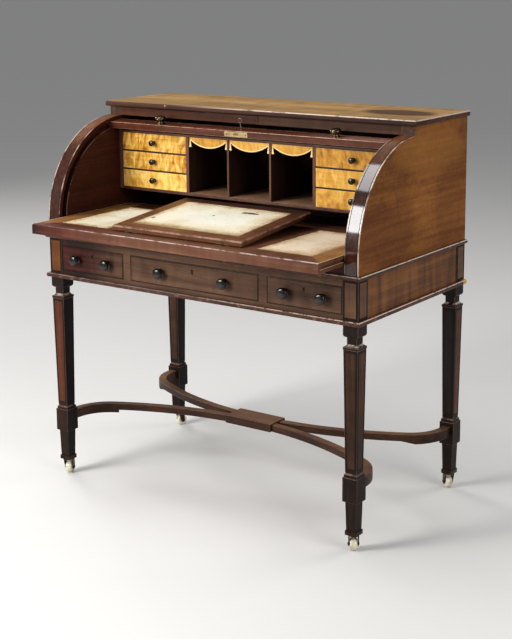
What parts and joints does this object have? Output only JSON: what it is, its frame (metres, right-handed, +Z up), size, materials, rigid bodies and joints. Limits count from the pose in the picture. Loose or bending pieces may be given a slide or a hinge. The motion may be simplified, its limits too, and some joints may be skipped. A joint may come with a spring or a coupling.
{
  "type": "cylinder desk",
  "caption": "Antique mahogany cylinder desk with a rolling curved lid, pull-out leathered writing slide, nest of drawers and pigeonholes, tapered legs on casters and a curved stretcher.",
  "frame": {"origin": "on the floor under the middle of the base", "axes": "+Z up, -Y towards the sitter, +X to the sitter's right hand side"},
  "size_m": [1, 0.6547, 1.034],
  "materials": {
    "leg_front_left": "worn french polish",
    "leg_front_right": "worn french polish",
    "leg_rear_left": "worn french polish",
    "leg_rear_right": "worn french polish",
    "stretcher_rails": "worn french polish",
    "stretcher_block": "worn french polish",
    "side_aprons": "worn french polish",
    "back_apron": "worn french polish",
    "front_frame": "worn french polish",
    "drawer_runners": "worn french polish",
    "lower_moulding": "worn french polish",
    "waist_moulding": "worn french polish",
    "caster_sockets": "aged",
    "end_left": "worn french polish",
    "end_right": "worn french polish",
    "bed_board": "worn french polish",
    "case_back": "worn french polish",
    "top_board": "worn french polish",
    "top_frieze": "worn french polish",
    "nest_carcase": "worn french polish",
    "nest_dividers": "worn french polish",
    "pigeonhole_valances": "worn french polish",
    "slide_runners": "worn french polish",
    "cylinder_panel": "worn french polish",
    "cylinder_rail": "worn french polish",
    "cylinder_knobs": "aged",
    "cylinder_lock": "aged",
    "cylinder_levers": "dull",
    "cylinder_key": "aged",
    "lock_bolt": "aged",
    "slide_board": "worn french polish",
    "slide_leathers": "worn cream",
    "slide_fittings": "aged",
    "slope_board": "worn french polish",
    "slope_leather": "worn cream",
    "slope_fittings": "aged",
    "slope_prop": "aged",
    "drawer_left": "worn french polish",
    "drawer_knobs_left": "worn french polish",
    "drawer_lock_left": "aged",
    "drawer_centre": "worn french polish",
    "drawer_knobs_centre": "worn french polish",
    "drawer_lock_centre": "aged",
    "drawer_right": "worn french polish",
    "drawer_knobs_right": "worn french polish",
    "drawer_lock_right": "aged",
    "small_drawer_left_bottom": "worn french polish",
    "small_drawer_left_middle": "worn french polish",
    "small_drawer_left_top": "worn french polish",
    "small_drawer_right_bottom": "worn french polish",
    "small_drawer_right_middle": "worn french polish",
    "small_drawer_right_top": "worn french polish",
    "caster_fork_front_left": "aged",
    "caster_wheel_front_left": "glazed white",
    "caster_fork_front_right": "aged",
    "caster_wheel_front_right": "glazed white",
    "caster_fork_rear_left": "aged",
    "caster_wheel_rear_left": "glazed white",
    "caster_fork_rear_right": "aged",
    "caster_wheel_rear_right": "glazed white"
  },
  "bodies": {
    "case": {"leg_front_left": "leg_front_left", "leg_front_right": "leg_front_right", "leg_rear_left": "leg_rear_left", "leg_rear_right": "leg_rear_right", "stretcher_rails": "stretcher_rails", "stretcher_block": "stretcher_block", "side_aprons": "side_aprons", "back_apron": "back_apron", "front_frame": "front_frame", "drawer_runners": "drawer_runners", "lower_moulding": "lower_moulding", "waist_moulding": "waist_moulding", "caster_sockets": "caster_sockets", "end_left": "end_left", "end_right": "end_right", "bed_board": "bed_board", "case_back": "case_back", "top_board": "top_board", "top_frieze": "top_frieze", "nest_carcase": "nest_carcase", "nest_dividers": "nest_dividers", "pigeonhole_valances": "pigeonhole_valances", "slide_runners": "slide_runners"},
    "lid": {"cylinder_panel": "cylinder_panel", "cylinder_rail": "cylinder_rail", "cylinder_knobs": "cylinder_knobs", "cylinder_lock": "cylinder_lock", "cylinder_levers": "cylinder_levers"},
    "key": {"cylinder_key": "cylinder_key"},
    "bolt": {"lock_bolt": "lock_bolt"},
    "slide": {"slide_board": "slide_board", "slide_leathers": "slide_leathers", "slide_fittings": "slide_fittings"},
    "slope": {"slope_board": "slope_board", "slope_leather": "slope_leather", "slope_fittings": "slope_fittings"},
    "prop": {"slope_prop": "slope_prop"},
    "frieze_drawer_left": {"drawer_left": "drawer_left", "drawer_knobs_left": "drawer_knobs_left", "drawer_lock_left": "drawer_lock_left"},
    "frieze_drawer_centre": {"drawer_centre": "drawer_centre", "drawer_knobs_centre": "drawer_knobs_centre", "drawer_lock_centre": "drawer_lock_centre"},
    "frieze_drawer_right": {"drawer_right": "drawer_right", "drawer_knobs_right": "drawer_knobs_right", "drawer_lock_right": "drawer_lock_right"},
    "small_drawer_body_left_bottom": {"small_drawer_left_bottom": "small_drawer_left_bottom"},
    "small_drawer_body_left_middle": {"small_drawer_left_middle": "small_drawer_left_middle"},
    "small_drawer_body_left_top": {"small_drawer_left_top": "small_drawer_left_top"},
    "small_drawer_body_right_bottom": {"small_drawer_right_bottom": "small_drawer_right_bottom"},
    "small_drawer_body_right_middle": {"small_drawer_right_middle": "small_drawer_right_middle"},
    "small_drawer_body_right_top": {"small_drawer_right_top": "small_drawer_right_top"},
    "caster_front_left": {"caster_fork_front_left": "caster_fork_front_left"},
    "wheel_front_left": {"caster_wheel_front_left": "caster_wheel_front_left"},
    "caster_front_right": {"caster_fork_front_right": "caster_fork_front_right"},
    "wheel_front_right": {"caster_wheel_front_right": "caster_wheel_front_right"},
    "caster_rear_left": {"caster_fork_rear_left": "caster_fork_rear_left"},
    "wheel_rear_left": {"caster_wheel_rear_left": "caster_wheel_rear_left"},
    "caster_rear_right": {"caster_fork_rear_right": "caster_fork_rear_right"},
    "wheel_rear_right": {"caster_wheel_rear_right": "caster_wheel_rear_right"}
  },
  "joints": [
    {"name": "cylinder_turn", "type": "hinge", "parent": "case", "child": "lid", "pos_m": [0, -0.007, 0.73], "axis": [-1, 0, 0], "range_deg": [-77, 0]},
    {"name": "slide_travel", "type": "slide", "parent": "case", "child": "slide", "axis": [0, -1, 0], "range_m": [-0.10001, 0.00001]},
    {"name": "slope_tilt", "type": "hinge", "parent": "slide", "child": "slope", "pos_m": [0, -0.334, 0.7429], "axis": [1, 0, 0], "range_deg": [-5.2, 6]},
    {"name": "prop_swing", "type": "hinge", "parent": "slope", "child": "prop", "pos_m": [0, -0.09598, 0.76456], "axis": [1, 0, 0], "range_deg": [-15.86, 18.29]},
    {"name": "key_turn", "type": "hinge", "parent": "lid", "child": "key", "pos_m": [-0.011, -0.03725, 0.98264], "axis": [0, -0.1772, 0.9842], "range_deg": [-0.05, 90.05]},
    {"name": "bolt_throw", "type": "slide", "parent": "lid", "child": "bolt", "axis": [0, -0.9842, -0.1772], "range_m": [0, 0.008]},
    {"name": "drawer_left_slide", "type": "slide", "parent": "case", "child": "frieze_drawer_left", "axis": [0, -1, 0], "range_m": [0, 0.3]},
    {"name": "drawer_centre_slide", "type": "slide", "parent": "case", "child": "frieze_drawer_centre", "axis": [0, -1, 0], "range_m": [0, 0.3]},
    {"name": "drawer_right_slide", "type": "slide", "parent": "case", "child": "frieze_drawer_right", "axis": [0, -1, 0], "range_m": [0, 0.3]},
    {"name": "small_drawer_left_bottom_slide", "type": "slide", "parent": "case", "child": "small_drawer_body_left_bottom", "axis": [0, -1, 0], "range_m": [0, 0.12]},
    {"name": "small_drawer_left_middle_slide", "type": "slide", "parent": "case", "child": "small_drawer_body_left_middle", "axis": [0, -1, 0], "range_m": [0, 0.08]},
    {"name": "small_drawer_left_top_slide", "type": "slide", "parent": "case", "child": "small_drawer_body_left_top", "axis": [0, -1, 0], "range_m": [0, 0.045]},
    {"name": "small_drawer_right_bottom_slide", "type": "slide", "parent": "case", "child": "small_drawer_body_right_bottom", "axis": [0, -1, 0], "range_m": [0, 0.12]},
    {"name": "small_drawer_right_middle_slide", "type": "slide", "parent": "case", "child": "small_drawer_body_right_middle", "axis": [0, -1, 0], "range_m": [0, 0.08]},
    {"name": "small_drawer_right_top_slide", "type": "slide", "parent": "case", "child": "small_drawer_body_right_top", "axis": [0, -1, 0], "range_m": [0, 0.045]},
    {"name": "swivel_front_left", "type": "hinge", "parent": "case", "child": "caster_front_left", "pos_m": [-0.47, -0.25, 0.049], "axis": [0, 0, 1], "continuous": true},
    {"name": "roll_front_left", "type": "hinge", "parent": "caster_front_left", "child": "wheel_front_left", "pos_m": [-0.47291, -0.24201, 0.0165], "axis": [-0.9397, -0.342, 0], "continuous": true},
    {"name": "swivel_front_right", "type": "hinge", "parent": "case", "child": "caster_front_right", "pos_m": [0.47, -0.25, 0.049], "axis": [0, 0, 1], "continuous": true},
    {"name": "roll_front_right", "type": "hinge", "parent": "caster_front_right", "child": "wheel_front_right", "pos_m": [0.46513, -0.24304, 0.0165], "axis": [-0.8192, -0.5736, 0], "continuous": true},
    {"name": "swivel_rear_left", "type": "hinge", "parent": "case", "child": "caster_rear_left", "pos_m": [-0.47, 0.25, 0.049], "axis": [0, 0, 1], "continuous": true},
    {"name": "roll_rear_left", "type": "hinge", "parent": "caster_rear_left", "child": "wheel_rear_left", "pos_m": [-0.46709, 0.25799, 0.0165], "axis": [-0.9397, 0.342, 0], "continuous": true},
    {"name": "swivel_rear_right", "type": "hinge", "parent": "case", "child": "caster_rear_right", "pos_m": [0.47, 0.25, 0.049], "axis": [0, 0, 1], "continuous": true},
    {"name": "roll_rear_right", "type": "hinge", "parent": "caster_rear_right", "child": "wheel_rear_right", "pos_m": [0.46349, 0.25546, 0.0165], "axis": [-0.6428, -0.766, 0], "continuous": true}
  ],
  "couplings": [
    {"joint": "slide_travel", "follows": "cylinder_turn", "m_per_rad": 0.07441},
    {"joint": "prop_swing", "follows": "slope_tilt", "ratio": 3.04},
    {"joint": "key_turn", "follows": "bolt_throw", "rad_per_m": 196.35}
  ]
}
